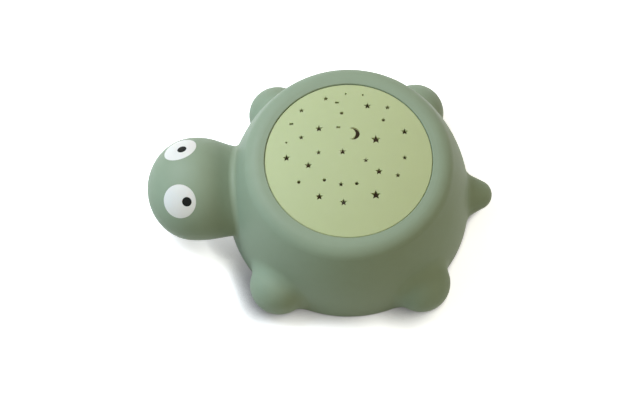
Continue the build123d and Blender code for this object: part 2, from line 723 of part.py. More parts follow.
# Battery door with its hinge barrel, its two pins and its screw tongue
with BuildPart() as battery_door:
    with BuildSketch(level(bottom_z)):
        door_sketch()
    extrude(amount=DOOR_THICKNESS)
    with BuildSketch(level(bottom_z)):
        tongue_sketch(0)
    extrude(amount=PLATE_THICKNESS - TONGUE_GAP)
    with BuildSketch(pin_line):
        Circle(HINGE_RADIUS)
    extrude(amount=HINGE_LENGTH / 2, both=True)
    with BuildSketch(pin_line):
        Circle(PIN_RADIUS)
    extrude(amount=HINGE_LENGTH / 2 + PIN_LENGTH, both=True)
    with Locations(level(bottom_z) * Pos(0, tongue_y) * TURNED_OVER):
        CounterBoreHole(
            DOOR_SCREW_RADIUS + SHANK_ROOM, DOOR_SCREW_HEAD + HEAD_ROOM, DOOR_SCREW_SINK, PLATE_THICKNESS
        )
battery_door.part.label = "battery_door"
export_step(battery_door.part, "parts/battery_door.step")

# Captive screw of the battery door
with BuildPart() as door_screw:
    with Locations(level(door_screw_seat) * Pos(0, tongue_y)):
        add(screw_form(DOOR_SCREW_HEAD, DOOR_SCREW_HEAD_HEIGHT, DOOR_SCREW_RADIUS, DOOR_SCREW_REACH))
door_screw.part.label = "door_screw"
export_step(door_screw.part, "parts/door_screw.step")

# Screws of the base plate
with BuildPart() as base_screws:
    with Locations(*[level(bottom_z + SCREW_SINK) * place for place in screw_places]):
        add(screw_form(SCREW_HEAD_RADIUS, SCREW_HEAD_HEIGHT, SCREW_RADIUS, SCREW_LENGTH))
base_screws.part.label = "base_screws"
export_step(base_screws.part, "parts/base_screws.step")


def cell_line(number):
    """Distance of a cell's axis from the middle of the bay."""
    return (number - (CELL_COUNT - 1) / 2) * cell_pitch


# Cells, turned end for end by turns so that they join in series; each nub lies against its contact
nub_y = bay_half_length - CONTACT_THICKNESS - CONTACT_TOUCH
for number in range(CELL_COUNT):
    facing = -1 if number % 2 == 0 else 1
    nub_end = (axis_x + cell_line(number), facing * nub_y, cell_z)
    cell_end = Plane(nub_end, x_dir=(1, 0, 0), z_dir=(0, facing, 0))
    with BuildPart() as cell:
        with BuildSketch(cell_end.offset(-NUB_HEIGHT)):
            Circle(CELL_RADIUS)
        extrude(amount=NUB_HEIGHT - CELL_LENGTH)
        with BuildSketch(cell_end):
            Circle(NUB_RADIUS)
        extrude(amount=-NUB_HEIGHT)
    cell.part.label = f"cell_{number + 1}"
    export_step(cell.part, f"parts/cell_{number + 1}.step")


def contact_form(end, first, last):
    """Flat metal against one end wall of the bay, across the cells from first to last."""
    end_wall = Plane((axis_x, end * bay_half_length, cell_z), x_dir=(1, 0, 0), z_dir=(0, -end, 0))
    with BuildPart() as form:
        with BuildSketch(end_wall):
            with Locations(((cell_line(first) + cell_line(last)) / 2, 0)):
                Rectangle((last - first) * cell_pitch + CONTACT_WIDTH, CONTACT_HEIGHT)
        extrude(amount=CONTACT_THICKNESS)
    return form.part


def spring_form(end, number):
    """Bowed strip on a contact that pushes against a cell's flat end."""
    face = bay_half_length - CONTACT_THICKNESS
    crest = face - SPRING_ROOM + CONTACT_TOUCH
    foot = CONTACT_HEIGHT / 2
    back = crest + CONTACT_THICKNESS
    along_cell = Plane((axis_x + cell_line(number), 0, cell_z), x_dir=(0, end, 0), z_dir=(end, 0, 0))
    with BuildPart() as form:
        with BuildSketch(along_cell):
            with BuildLine():
                Polyline(
                    (face, foot),
                    (crest, SPRING_CREST),
                    (crest, -SPRING_CREST),
                    (face, -foot),
                    (face, CONTACT_THICKNESS - foot),
                    (back, CONTACT_THICKNESS - SPRING_CREST),
                    (back, SPRING_CREST - CONTACT_THICKNESS),
                    (face, foot - CONTACT_THICKNESS),
                    close=True,
                )
            make_face()
        extrude(amount=SPRING_WIDTH / 2, both=True)
    return form.part


def tab_form(end, number):
    """Solder tab on a contact that stands up through the bay's roof."""
    with BuildPart() as form:
        with BuildSketch(level(cell_z)):
            with Locations((cell_line(number), end * (bay_half_length - CONTACT_THICKNESS / 2))):
                Rectangle(TAB_WIDTH, CONTACT_THICKNESS)
        extrude(amount=bay_top + TAB_RISE - cell_z)
    return form.part


# Contacts in the order of the circuit: the first nub, two bridges, and the last flat end
with BuildPart() as contact_positive:
    add(contact_form(-1, 0, 0))
    add(tab_form(-1, 0))
contact_positive.part.label = "contact_positive"
export_step(contact_positive.part, "parts/contact_positive.step")

with BuildPart() as contact_bridge_rear:
    add(contact_form(1, 0, 1))
    add(spring_form(1, 0))
contact_bridge_rear.part.label = "contact_bridge_rear"
export_step(contact_bridge_rear.part, "parts/contact_bridge_rear.step")

with BuildPart() as contact_bridge_front:
    add(contact_form(-1, 1, 2))
    add(spring_form(-1, 1))
contact_bridge_front.part.label = "contact_bridge_front"
export_step(contact_bridge_front.part, "parts/contact_bridge_front.step")

with BuildPart() as contact_negative:
    add(contact_form(1, 2, 2))
    add(spring_form(1, 2))
    add(tab_form(1, 2))
contact_negative.part.label = "contact_negative"
export_step(contact_negative.part, "parts/contact_negative.step")

# Main board on its two posts
with BuildPart() as main_board:
    with BuildSketch(level(board_bottom)):
        with Locations((switch_x, 0)):
            Rectangle(BOARD_LENGTH, BOARD_WIDTH)
            with GridLocations(0, board_screw_spread, 1, 2):
                Circle(BOARD_SCREW_RADIUS + SHANK_ROOM, mode=Mode.SUBTRACT)
    extrude(amount=BOARD_THICKNESS)
main_board.part.label = "main_board"
export_step(main_board.part, "parts/main_board.step")

with BuildPart() as board_screws:
    for y in (-board_screw_spread / 2, board_screw_spread / 2):
        with Locations(level(board_top) * Pos(switch_x, y) * TURNED_OVER):
            add(small_screw_form(BOARD_SCREW_LENGTH))
board_screws.part.label = "board_screws"
export_step(board_screws.part, "parts/board_screws.step")

with BuildPart() as control_chip:
    with BuildSketch(level(board_top)):
        with Locations((switch_x - CHIP_OUT, 0)):
            Rectangle(CHIP_LENGTH, CHIP_WIDTH)
    extrude(amount=CHIP_HEIGHT)
control_chip.part.label = "control_chip"
export_step(control_chip.part, "parts/control_chip.step")

# Slide switch: the case on the underside of the board, and the knob that slides below it
with BuildPart() as slide_switch:
    with BuildSketch(level(plate_top + CAN_GAP)):
        with Locations((switch_x, 0)):
            Rectangle(CAN_WIDTH, CAN_LENGTH)
    extrude(amount=CAN_HEIGHT)
    with BuildSketch(level(plate_top + CAN_GAP)):
        with Locations((switch_x, 0)):
            Rectangle(slot_width, slot_length)
    extrude(amount=STEM_REACH + KNOB_GAP, mode=Mode.SUBTRACT)
slide_switch.part.label = "slide_switch"
export_step(slide_switch.part, "parts/slide_switch.step")

with BuildPart() as switch_knob:
    with BuildSketch(level(knob_top)):
        with Locations((switch_x, knob_y)):
            Rectangle(KNOB_WIDTH, KNOB_LENGTH)
    extrude(amount=-KNOB_THICKNESS)
    with BuildSketch(level(bottom_z)):
        with Locations((switch_x, knob_y)):
            with GridLocations(0, RIDGE_PITCH, 1, RIDGE_COUNT):
                Rectangle(KNOB_WIDTH, RIDGE_WIDTH)
    extrude(amount=knob_top - KNOB_THICKNESS - bottom_z)
    with BuildSketch(level(knob_top)):
        with Locations((switch_x, knob_y)):
            Rectangle(STEM_WIDTH, STEM_LENGTH)
    extrude(amount=stem_top - knob_top)
switch_knob.part.label = "switch_knob"
export_step(switch_knob.part, "parts/switch_knob.step")

# Lamp and its board, on the roof of the battery bay
with BuildPart() as lamp_board:
    with BuildSketch(level(bay_top)):
        Circle(LAMP_BOARD_RADIUS)
    extrude(amount=BOARD_THICKNESS)
lamp_board.part.label = "lamp_board"
export_step(lamp_board.part, "parts/lamp_board.step")

with BuildPart() as lamp:
    with BuildSketch(level(lamp_board_top)):
        Circle(LAMP_RADIUS + LAMP_FLANGE)
    extrude(amount=LAMP_FLANGE_HEIGHT)
    with BuildSketch(level(lamp_board_top)):
        Circle(LAMP_RADIUS)
    extrude(amount=LAMP_HEIGHT - LAMP_RADIUS)
    with Locations(level(lamp_board_top + LAMP_HEIGHT - LAMP_RADIUS)):
        Sphere(LAMP_RADIUS)
lamp.part.label = "lamp"
export_step(lamp.part, "parts/lamp.step")

# Dark hood that holds the lamp board down and keeps the light to the dome
with BuildPart() as light_hood:
    with BuildSketch(upright()):
        with BuildLine():
            board_edge = LAMP_BOARD_RADIUS + HOOD_GAP
            foot_top = bay_top + HOOD_FOOT_HEIGHT
            Polyline(
                (HOOD_THROAT, lamp_board_top),
                (board_edge, lamp_board_top),
                (board_edge, bay_top),
                (HOOD_FOOT, bay_top),
                (HOOD_FOOT, foot_top),
                (skirt_outer, hood_top),
                (skirt_outer - HOOD_WALL, hood_top),
                (HOOD_FOOT - HOOD_WALL, foot_top),
                (HOOD_THROAT, foot_top),
                close=True,
            )
        make_face()
    revolve(axis=shell_axis)
    with BuildSketch(level(bay_top)):
        with GridLocations(0, 2 * lug_y, 1, 2):
            Circle(LUG_RADIUS)
        for end in (-1, 1):
            with Locations((0, end * (lug_y + board_edge) / 2)):
                Rectangle(2 * LUG_RADIUS, lug_y - board_edge)
        Circle(board_edge, mode=Mode.SUBTRACT)
        with GridLocations(0, 2 * lug_y, 1, 2):
            Circle(BOARD_SCREW_RADIUS + SHANK_ROOM, mode=Mode.SUBTRACT)
    extrude(amount=LUG_THICKNESS)
    with BuildSketch(level(bay_top)):
        Rectangle(2 * HOOD_FOOT, WIRE_NOTCH, align=(Align.MAX, Align.CENTER))
    extrude(amount=BOARD_THICKNESS + 2 * WIRE_RADIUS + HOOD_GAP, mode=Mode.SUBTRACT)
light_hood.part.label = "light_hood"
export_step(light_hood.part, "parts/light_hood.step")

with BuildPart() as hood_screws:
    for y in (-lug_y, lug_y):
        with Locations(level(bay_top + LUG_THICKNESS) * Pos(0, y) * TURNED_OVER):
            add(small_screw_form(LUG_THICKNESS + LUG_SCREW_REACH))
hood_screws.part.label = "hood_screws"
export_step(hood_screws.part, "parts/hood_screws.step")

# Wires from the solder tabs and from the lamp's board to the main board
tab_y = bay_half_length - CONTACT_THICKNESS / 2
tab_z = bay_top + TAB_RISE / 2
lead_x = switch_x + BOARD_LENGTH / 2 - BOARD_EDGE
lead_y = BOARD_WIDTH / 2 - 2 * BOARD_EDGE
bay_side = -bay_half_width - BAY_WALL
with BuildPart() as lead_positive:
    add(
        wire_form(
            [
                (-cell_pitch - TAB_WIDTH / 2, -tab_y, tab_z),
                (bay_side - WIRE_BEND, -tab_y, tab_z),
                (lead_x, -lead_y, tab_z),
                (lead_x, -lead_y, board_top),
            ]
        )
    )
lead_positive.part.label = "lead_positive"
export_step(lead_positive.part, "parts/lead_positive.step")

with BuildPart() as lead_negative:
    add(
        wire_form(
            [
                (cell_pitch - TAB_WIDTH / 2, tab_y, tab_z),
                (bay_side - WIRE_BEND, tab_y, tab_z),
                (lead_x, lead_y, tab_z),
                (lead_x, lead_y, board_top),
            ]
        )
    )
lead_negative.part.label = "lead_negative"
export_step(lead_negative.part, "parts/lead_negative.step")

with BuildPart() as lamp_leads:
    for end in (-1, 1):
        wire_y = end * WIRE_PITCH / 2
        wire_z = lamp_board_top + WIRE_RADIUS + WIRE_LIFT
        add(
            wire_form(
                [
                    (-HOOD_THROAT, wire_y, wire_z),
                    (lead_x, wire_y, wire_z),
                    (lead_x, wire_y, board_top),
                ]
            )
        )
lamp_leads.part.label = "lamp_leads"
export_step(lamp_leads.part, "parts/lamp_leads.step")
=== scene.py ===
"""Looks of a turtle-shaped star night light: finishes for its moulded parts, detailed screws and
switch marks, and a pale studio floor with the camera high above the turtle's left side."""

import json
from math import cos, pi, radians, sin

import bmesh
import bpy
from bpy.props import FloatProperty, FloatVectorProperty, IntProperty, PointerProperty
from mathutils import Matrix, Vector


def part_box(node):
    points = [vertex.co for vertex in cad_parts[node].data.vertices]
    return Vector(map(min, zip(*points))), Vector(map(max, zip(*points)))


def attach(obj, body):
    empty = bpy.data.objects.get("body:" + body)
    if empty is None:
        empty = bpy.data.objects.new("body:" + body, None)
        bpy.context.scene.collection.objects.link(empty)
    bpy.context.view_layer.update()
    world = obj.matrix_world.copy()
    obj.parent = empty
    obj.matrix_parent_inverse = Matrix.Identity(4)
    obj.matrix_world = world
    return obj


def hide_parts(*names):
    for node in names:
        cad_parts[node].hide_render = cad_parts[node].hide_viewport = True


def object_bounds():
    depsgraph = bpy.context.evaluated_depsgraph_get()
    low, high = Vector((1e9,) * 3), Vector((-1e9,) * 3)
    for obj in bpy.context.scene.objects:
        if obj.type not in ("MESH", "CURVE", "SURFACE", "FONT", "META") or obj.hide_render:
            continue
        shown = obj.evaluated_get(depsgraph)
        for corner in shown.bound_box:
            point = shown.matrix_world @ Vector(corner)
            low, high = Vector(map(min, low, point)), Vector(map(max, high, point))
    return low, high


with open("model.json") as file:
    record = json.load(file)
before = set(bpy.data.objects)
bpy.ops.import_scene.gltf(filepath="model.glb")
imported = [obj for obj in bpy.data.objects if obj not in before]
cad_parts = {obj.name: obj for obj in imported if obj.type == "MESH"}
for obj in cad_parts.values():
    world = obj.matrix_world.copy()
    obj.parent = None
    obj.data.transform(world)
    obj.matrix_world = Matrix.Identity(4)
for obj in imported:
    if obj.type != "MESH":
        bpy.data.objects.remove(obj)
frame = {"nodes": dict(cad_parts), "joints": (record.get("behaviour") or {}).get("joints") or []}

bl_info = {
    "name": "Turtle Night Light",
    "version": (1, 0, 0),
    "blender": (4, 5, 0),
    "location": "3D View > Sidebar > Night Light",
    "description": "Finishes and studio for a turtle-shaped star night light",
    "category": "Object",
}

NODES = frame["nodes"]
CAD_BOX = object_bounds()
MM = 0.001

# The stage, in metres: the head points to -X, and the camera stands on the -Y side.
FLOOR_HALF = 6.0
LAMP_AIM = Vector((0, 0, 0.02))
KEY_PLACE, KEY_SIZE = Vector((-0.75, 0.5, 1.2)), 0.7
COOL_PLACE, WARM_PLACE = Vector((-1.2, -0.25, 0.4)), Vector((1.0, -0.3, 0.6))
FILL_SIZE = 0.6
UNDER_X = sum(corner.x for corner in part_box("base_plate")) / 2
UNDER_PLACE, UNDER_AIM = Vector((UNDER_X, 0, -0.25)), Vector((UNDER_X, 0, 0))
UNDER_SIZE, UNDER_SPREAD = 0.105, radians(10)
GLOW_SIZE, GLOW_DEPTH = 2 * MM, 7 * MM

# The shade on the floor: which way it looks for the part, how open a shaded and a clear place are, how
# dark it gets, and from where to where along Y it fades. The corner shade lies close round the part.
SHADE_LEAN, SHADE_OPEN = (0.85, 0.30, 0.43), (0.35, 0.95)
CORNER_LEAN, CORNER_OPEN, CORNER_SHARE = (0.0, 0.0, 1.0), (0.25, 0.7), 0.4
SHADE_DARK, SHADE_FADE = 0.85, (-0.05, 0.01)

# Moulded skin: slow and quick drifts in its tone, how far the mottle swings the tone, and how far grain
# and drift swing the roughness.
DRIFT_SHARE, CLOUD_SHARE, MOTTLE_SWING = 0.7, 0.3, 4.0
GRAIN_SWING, DRIFT_SWING = 0.22, 0.18

# A rubbed edge: how far round it the rub reaches, how much lighter than the piece it is, how far the
# surface turns from no rub to full rub, and which noise values leave it bare and cover it.
RUB_REACH, RUB_GAIN, RUB_LIFT = 0.6 * MM, 1.35, 0.02
RUB_TURN, RUB_PATCH = (0.98, 0.80), (0.35, 0.65)

# Drawn metal: what its lines and its dull spots change in the tone and the roughness.
LINE_TONE, SPOT_TONE, LINE_ROUGH, SPOT_ROUGH = 0.2, 0.15, 0.12, 0.25
SPOT_NOISE = (0.52, 0.72)

# Shares of a screw: the rounded part of its head, its thread's core, its recess's reach and the tip of
# each bar that cuts the recess. Edges that turn more than the angle stay sharp.
HEAD_EDGE, HEAD_ROUND, THREAD_CORE, RECESS_REACH = 0.35, 0.3, 0.78, 1.15
TIP_X, TIP_Y = 0.3, 0.4
SHARP_ANGLE = radians(35)

# The break along the edges of the switch's on mark.
MARK_ROUND = 0.08 * MM

# A cell: how near its axis the nub's corners lie, how near its top the body's, and how far a nub
# stands out at least. Then the ends of the nub, the band and the sleeve as shares of its length.
NUB_REACH, BODY_EDGE, NUB_STEP = 2.1 * MM, 0.5 * MM, 0.3 * MM
NUB_END, BAND_END, SLEEVE_END = 0.035, 0.30, 0.985


def colour_property(name, description, default):
    """A colour that the user may change, in linear light."""
    return FloatVectorProperty(
        name=name, description=description, subtype="COLOR", size=3, min=0, max=1, default=default
    )


def share_property(name, description, default):
    """A share from none to all."""
    return FloatProperty(
        name=name, description=description, subtype="FACTOR", min=0, max=1, default=default
    )


def length_property(name, description, default, low=0.0):
    """A length in metres."""
    return FloatProperty(
        name=name, description=description, unit="LENGTH", precision=5, min=low, default=default
    )


def angle_property(name, description, default):
    """An angle in radians."""
    return FloatProperty(name=name, description=description, unit="ROTATION", default=default)


def power_property(name, description, default):
    """A lamp's power in watts."""
    return FloatProperty(
        name=name, description=description, unit="POWER", precision=4, min=0, default=default
    )


class TurtleFinish(bpy.types.PropertyGroup):
    """Colours and surface of the moulded, rubber and metal pieces."""

    shell_colour: colour_property("Shell", "Sage plastic of the shell and limbs", (0.27, 0.335, 0.235))
    dome_colour: colour_property("Dome", "Pale plastic of the pierced dome", (0.49, 0.545, 0.30))
    eye_colour: colour_property("Eyes", "White inlays of the eyes", (0.765, 0.745, 0.705))
    pupil_colour: colour_property("Pupils", "Black inlays of the pupils", (0.008, 0.009, 0.007))
    base_colour: colour_property("Underside", "Base plate and battery door", (0.215, 0.28, 0.195))
    pad_colour: colour_property("Pads", "Rubber pads under the feet", (0.045, 0.05, 0.045))
    knob_colour: colour_property("Switch knob", "Black plastic of the switch knob", (0.02, 0.021, 0.02))
    hood_colour: colour_property("Hood", "Dark plastic round the lamp", (0.10, 0.075, 0.05))
    steel_colour: colour_property("Steel", "Plated screws and switch case", (0.56, 0.56, 0.54))
    contact_colour: colour_property("Contacts", "Plated contact strips", (0.62, 0.59, 0.52))
    board_colour: colour_property("Board", "Solder resist on the main board", (0.03, 0.15, 0.06))
    track_colour: colour_property("Tracks", "Tracks under the solder resist", (0.07, 0.26, 0.10))
    lamp_board_colour: colour_property("Lamp board", "Dark coat of this board", (0.05, 0.04, 0.028))
    lamp_track_colour: colour_property("Lamp tracks", "Tracks under the dark coat", (0.09, 0.072, 0.05))
    lens_colour: colour_property("Lens", "Clear body of the lamp", (0.85, 0.86, 0.83))
    chip_colour: colour_property("Chip", "Moulded case of the control chip", (0.018, 0.018, 0.018))
    plus_colour: colour_property("Positive lead", "Cover of the positive lead", (0.45, 0.02, 0.02))
    minus_colour: colour_property("Negative lead", "Cover of the negative lead", (0.02, 0.02, 0.02))
    lamp_lead_colour: colour_property("Lamp leads", "Cover of the lamp's leads", (0.70, 0.70, 0.68))
    sleeve_colour: colour_property("Cell sleeves", "Printed film on the cells", (0.70, 0.71, 0.68))
    band_colour: colour_property("Cell bands", "Coloured band at the positive end", (0.08, 0.28, 0.15))
    grain_size: length_property("Grain size", "Width of one grain of the moulded skin", 0.0007)
    mottle: share_property("Mottle", "How much the moulded colour varies over a piece", 0.05)
    skin_roughness: share_property("Skin roughness", "Roughness of the soft matte skin", 0.55)
    grain_depth: share_property("Grain depth", "Strength of the moulded grain", 0.06)


class TurtleDetails(bpy.types.PropertyGroup):
    """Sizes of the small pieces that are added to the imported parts."""

    head_radius: length_property("Base screw head", "Radius of a base screw's head", 2.8 * MM)
    head_height: length_property("Base screw head height", "Height of a base screw's head", 1.6 * MM)
    shank_radius: length_property("Base screw shank", "Radius of a base screw's shank", 1.45 * MM)
    door_head_radius: length_property("Door screw head", "Radius of the door screw's head", 2.5 * MM)
    door_head_height: length_property("Door screw head height", "Height of its head", 1.3 * MM)
    door_shank_radius: length_property("Door screw shank", "Radius of the door screw's shank", 1.3 * MM)
    recess_width: length_property("Cross width", "Width of one slot of the cross recess", 0.75 * MM)
    recess_depth: length_property("Cross depth", "Depth of the cross recess", 0.8 * MM)
    thread_pitch: length_property("Thread pitch", "Distance between two turns of a thread", 1.0 * MM)
    mark_height: length_property("Mark height", "How far the switch marks stand proud", 0.2 * MM)
    mark_size: length_property("Mark size", "Length of the switch's on mark", 3.6 * MM)
    mark_stroke: length_property("Mark stroke", "Width of the switch marks' lines", 0.7 * MM)
    mark_gap: length_property("Mark gap", "Gap between the switch's slot and its marks", 2.2 * MM)
    round_steps: IntProperty(
        name="Round steps", description="Sides of a turned piece", min=12, default=48
    )


class TurtleView(bpy.types.PropertyGroup):
    """Where the camera stands."""

    elevation: angle_property("Elevation", "Height of the view above the horizon", radians(66.5))
    roll: angle_property("Roll", "Tilt of the picture, right side up", radians(1.0))
    lens: FloatProperty(
        name="Lens", description="Focal length on a 36 mm frame", unit="CAMERA", default=135.0
    )
    distance: length_property("Distance", "From the aim to the camera", 1.428)
    aim_right: length_property("Aim right", "Aim to the right of the part's origin", -0.00048, -1.0)
    aim_up: length_property("Aim up", "Aim above the part's origin in the picture", 0.00357, -1.0)


class TurtleStudio(bpy.types.PropertyGroup):
    """Floor, sky and lamps."""

    floor_colour: colour_property("Floor", "Colour of the floor", (0.95, 0.95, 0.95))
    bounce_colour: colour_property("Bounce", "What the floor throws back", (0.22, 0.23, 0.15))
    floor_glow: share_property("Floor glow", "Light of its own that the camera sees in the floor", 0.8)
    sky_colour: colour_property("Sky", "Colour of the soft light from all round", (1.0, 0.93, 0.68))
    sky_strength: FloatProperty(
        name="Sky strength", description="How strong the soft light is", min=0, default=0.43
    )
    contact_reach: length_property("Contact reach", "How far the shade reaches from the part", 0.017)
    key_power: power_property("Key", "Large cool lamp above the head", 19.0)
    key_colour: colour_property("Key colour", "Colour of the large lamp", (0.76, 0.85, 1.0))
    cool_power: power_property("Cool fill", "Low lamp on the head's side", 2.9)
    cool_colour: colour_property("Cool colour", "Colour of the low lamp", (0.12, 0.58, 1.0))
    warm_power: power_property("Warm fill", "Lamp on the tail's side", 0.7)
    warm_colour: colour_property("Warm colour", "Colour of the tail's lamp", (1.0, 0.85, 0.42))
    under_power: power_property("Under lamp", "Narrow lamp that shows the underside", 0.03)
    under_colour: colour_property("Under colour", "Colour of the narrow lamp", (1.0, 1.0, 1.0))
    glow_power: power_property("Hood glow", "Daylight that comes through the dome", 0.009)
    glow_colour: colour_property("Hood glow colour", "Colour of that daylight", (1.0, 0.9, 0.75))


def group_tree(name, inputs, outputs):
    """An empty shader group with its sockets: (name, type, default) in and (name, type) out."""
    tree = bpy.data.node_groups.new(name, "ShaderNodeTree")
    for socket_name, kind, default in inputs:
        socket = tree.interface.new_socket(socket_name, in_out="INPUT", socket_type=kind)
        socket.default_value = default
    for socket_name, kind in outputs:
        tree.interface.new_socket(socket_name, in_out="OUTPUT", socket_type=kind)
    return tree, tree.nodes.new("NodeGroupInput").outputs, tree.nodes.new("NodeGroupOutput").inputs


def noise(tree, place, scale, detail=2.0):
    """A noise value between 0 and 1 at a place; scale is a number or a socket."""
    node = tree.nodes.new("ShaderNodeTexNoise")
    node.inputs["Detail"].default_value = detail
    tree.links.new(place, node.inputs["Vector"])
    if isinstance(scale, (int, float)):
        node.inputs["Scale"].default_value = scale
    else:
        tree.links.new(scale, node.inputs["Scale"])
    return node.outputs["Fac"]


def maths(tree, operation, first, second):
    """The result of one sum; each side is a number or a socket."""
    node = tree.nodes.new("ShaderNodeMath")
    node.operation = operation
    for socket, value in zip(node.inputs, (first, second)):
        if isinstance(value, (int, float)):
            socket.default_value = value
        else:
            tree.links.new(value, socket)
    return node.outputs[0]


def spread(tree, value, low, high, to_low=0.0, to_high=1.0):
    """A value stretched from one range to another, with soft ends."""
    node = tree.nodes.new("ShaderNodeMapRange")
    node.interpolation_type = "SMOOTHSTEP"
    tree.links.new(value, node.inputs["Value"])
    names = ("From Min", "From Max", "To Min", "To Max")
    for name, number in zip(names, (low, high, to_low, to_high)):
        node.inputs[name].default_value = number
    return node.outputs["Result"]


def mix(tree, share, first, second):
    """Two colours mixed by a share; each colour is a socket or plain."""
    node = tree.nodes.new("ShaderNodeMix")
    node.data_type = "RGBA"
    sockets = [s for s in node.inputs if s.enabled]
    for socket, value in zip(sockets, (share, first, second)):
        if isinstance(value, bpy.types.NodeSocket):
            tree.links.new(value, socket)
        else:
            socket.default_value = (*value[:3], 1.0)
    return next(s for s in node.outputs if s.enabled)


def swing(tree, value, amount):
    """A noise value turned into a swing to both sides of nought."""
    return maths(tree, "MULTIPLY", maths(tree, "SUBTRACT", value, 0.5), amount)


def tint(tree, colour, shade):
    """A colour made lighter or darker by a shade."""
    node = tree.nodes.new("ShaderNodeVectorMath")
    node.operation = "SCALE"
    tree.links.new(colour, node.inputs[0])
    tree.links.new(shade, node.inputs["Scale"])
    return node.outputs[0]


def object_place(tree):
    """The place on the part, in metres."""
    return tree.nodes.new("ShaderNodeTexCoord").outputs["Object"]


def moulded_skin_group():
    """Moulded plastic: slow drifts of colour, and a fine grain in the roughness and the height."""
    found = bpy.data.node_groups.get("Moulded skin")
    if found:
        return found
    tree, given, out = group_tree(
        "Moulded skin",
        [
            ("Colour", "NodeSocketColor", (0.5, 0.5, 0.5, 1.0)),
            ("Grain", "NodeSocketFloat", 1400.0),
            ("Mottle", "NodeSocketFloat", 0.05),
            ("Roughness", "NodeSocketFloat", 0.5),
        ],
        [("Color", "NodeSocketColor"), ("Roughness", "NodeSocketFloat"), ("Height", "NodeSocketFloat")],
    )
    place = object_place(tree)
    drift = noise(tree, place, scale=22.0, detail=3.0)
    cloud = noise(tree, place, scale=160.0)
    grain = noise(tree, place, scale=given["Grain"])
    slow = maths(tree, "MULTIPLY", drift, DRIFT_SHARE)
    quick = maths(tree, "MULTIPLY", cloud, CLOUD_SHARE)
    reach = maths(tree, "MULTIPLY", given["Mottle"], MOTTLE_SWING)
    shade = maths(tree, "ADD", 1.0, swing(tree, maths(tree, "ADD", slow, quick), reach))
    tree.links.new(tint(tree, given["Colour"], shade), out["Color"])
    uneven = maths(tree, "ADD", swing(tree, grain, GRAIN_SWING), swing(tree, drift, DRIFT_SWING))
    tree.links.new(maths(tree, "ADD", given["Roughness"], uneven), out["Roughness"])
    tree.links.new(grain, out["Height"])
    return tree


def edge_rub_group():
    """Rubbed edges: a lighter colour along edges, broken up by noise."""
    found = bpy.data.node_groups.get("Edge rub")
    if found:
        return found
    tree, given, out = group_tree(
        "Edge rub",
        [
            ("Colour", "NodeSocketColor", (0.5, 0.5, 0.5, 1.0)),
            ("Rubbed colour", "NodeSocketColor", (0.8, 0.8, 0.8, 1.0)),
            ("Amount", "NodeSocketFloat", 0.3),
        ],
        [("Color", "NodeSocketColor")],
    )
    bevel = tree.nodes.new("ShaderNodeBevel")
    bevel.samples = 6
    bevel.inputs["Radius"].default_value = RUB_REACH
    facing = tree.nodes.new("ShaderNodeVectorMath")
    facing.operation = "DOT_PRODUCT"
    tree.links.new(bevel.outputs["Normal"], facing.inputs[0])
    tree.links.new(tree.nodes.new("ShaderNodeNewGeometry").outputs["Normal"], facing.inputs[1])
    edge = spread(tree, facing.outputs["Value"], *RUB_TURN)
    patchy = spread(tree, noise(tree, object_place(tree), scale=260.0, detail=4.0), *RUB_PATCH)
    mask = maths(tree, "MULTIPLY", maths(tree, "MULTIPLY", edge, patchy), given["Amount"])
    tree.links.new(mix(tree, mask, given["Colour"], given["Rubbed colour"]), out["Color"])
    return tree


def drawn_metal_group():
    """Plated metal with fine drawn lines along one direction and a few dull spots."""
    found = bpy.data.node_groups.get("Drawn metal")
    if found:
        return found
    tree, given, out = group_tree(
        "Drawn metal",
        [
            ("Colour", "NodeSocketColor", (0.6, 0.6, 0.6, 1.0)),
            ("Roughness", "NodeSocketFloat", 0.3),
            ("Line stretch", "NodeSocketVector", (1.0, 1.0, 1.0)),
        ],
        [("Color", "NodeSocketColor"), ("Roughness", "NodeSocketFloat"), ("Height", "NodeSocketFloat")],
    )
    place = object_place(tree)
    stretched = tree.nodes.new("ShaderNodeVectorMath")
    stretched.operation = "MULTIPLY"
    tree.links.new(place, stretched.inputs[0])
    tree.links.new(given["Line stretch"], stretched.inputs[1])
    lines = noise(tree, stretched.outputs[0], scale=5200.0, detail=3.0)
    spots = noise(tree, place, scale=420.0, detail=4.0)
    dull = spread(tree, spots, *SPOT_NOISE)
    tone = maths(tree, "ADD", 1 - LINE_TONE / 2, maths(tree, "MULTIPLY", lines, LINE_TONE))
    shade = maths(tree, "SUBTRACT", tone, maths(tree, "MULTIPLY", dull, SPOT_TONE))
    tree.links.new(tint(tree, given["Colour"], shade), out["Color"])
    scored = maths(tree, "MULTIPLY", lines, LINE_ROUGH)
    worn = maths(tree, "ADD", scored, maths(tree, "MULTIPLY", dull, SPOT_ROUGH))
    tree.links.new(maths(tree, "ADD", given["Roughness"], worn), out["Roughness"])
    tree.links.new(lines, out["Height"])
    return tree


def new_material(name):
    """An empty material with its shader."""
    material = bpy.data.materials.new(name)
    material.use_nodes = True
    return material, material.node_tree, material.node_tree.nodes["Principled BSDF"]


def place_group(tree, group, **values):
    """A group placed in a material, with values for its sockets by name; _ stands for a space."""
    node = tree.nodes.new("ShaderNodeGroup")
    node.node_tree = group
    for name, value in values.items():
        socket = node.inputs[name.replace("_", " ")]
        if isinstance(value, bpy.types.NodeSocket):
            tree.links.new(value, socket)
        elif socket.type == "RGBA":
            socket.default_value = (*value[:3], 1.0)
        else:
            socket.default_value = value
    return node.outputs


def bump(tree, shader, height, strength, distance=0.1 * MM):
    """Fine relief from a height."""
    node = tree.nodes.new("ShaderNodeBump")
    node.inputs["Strength"].default_value = strength
    node.inputs["Distance"].default_value = distance
    tree.links.new(height, node.inputs["Height"])
    tree.links.new(node.outputs["Normal"], shader.inputs["Normal"])


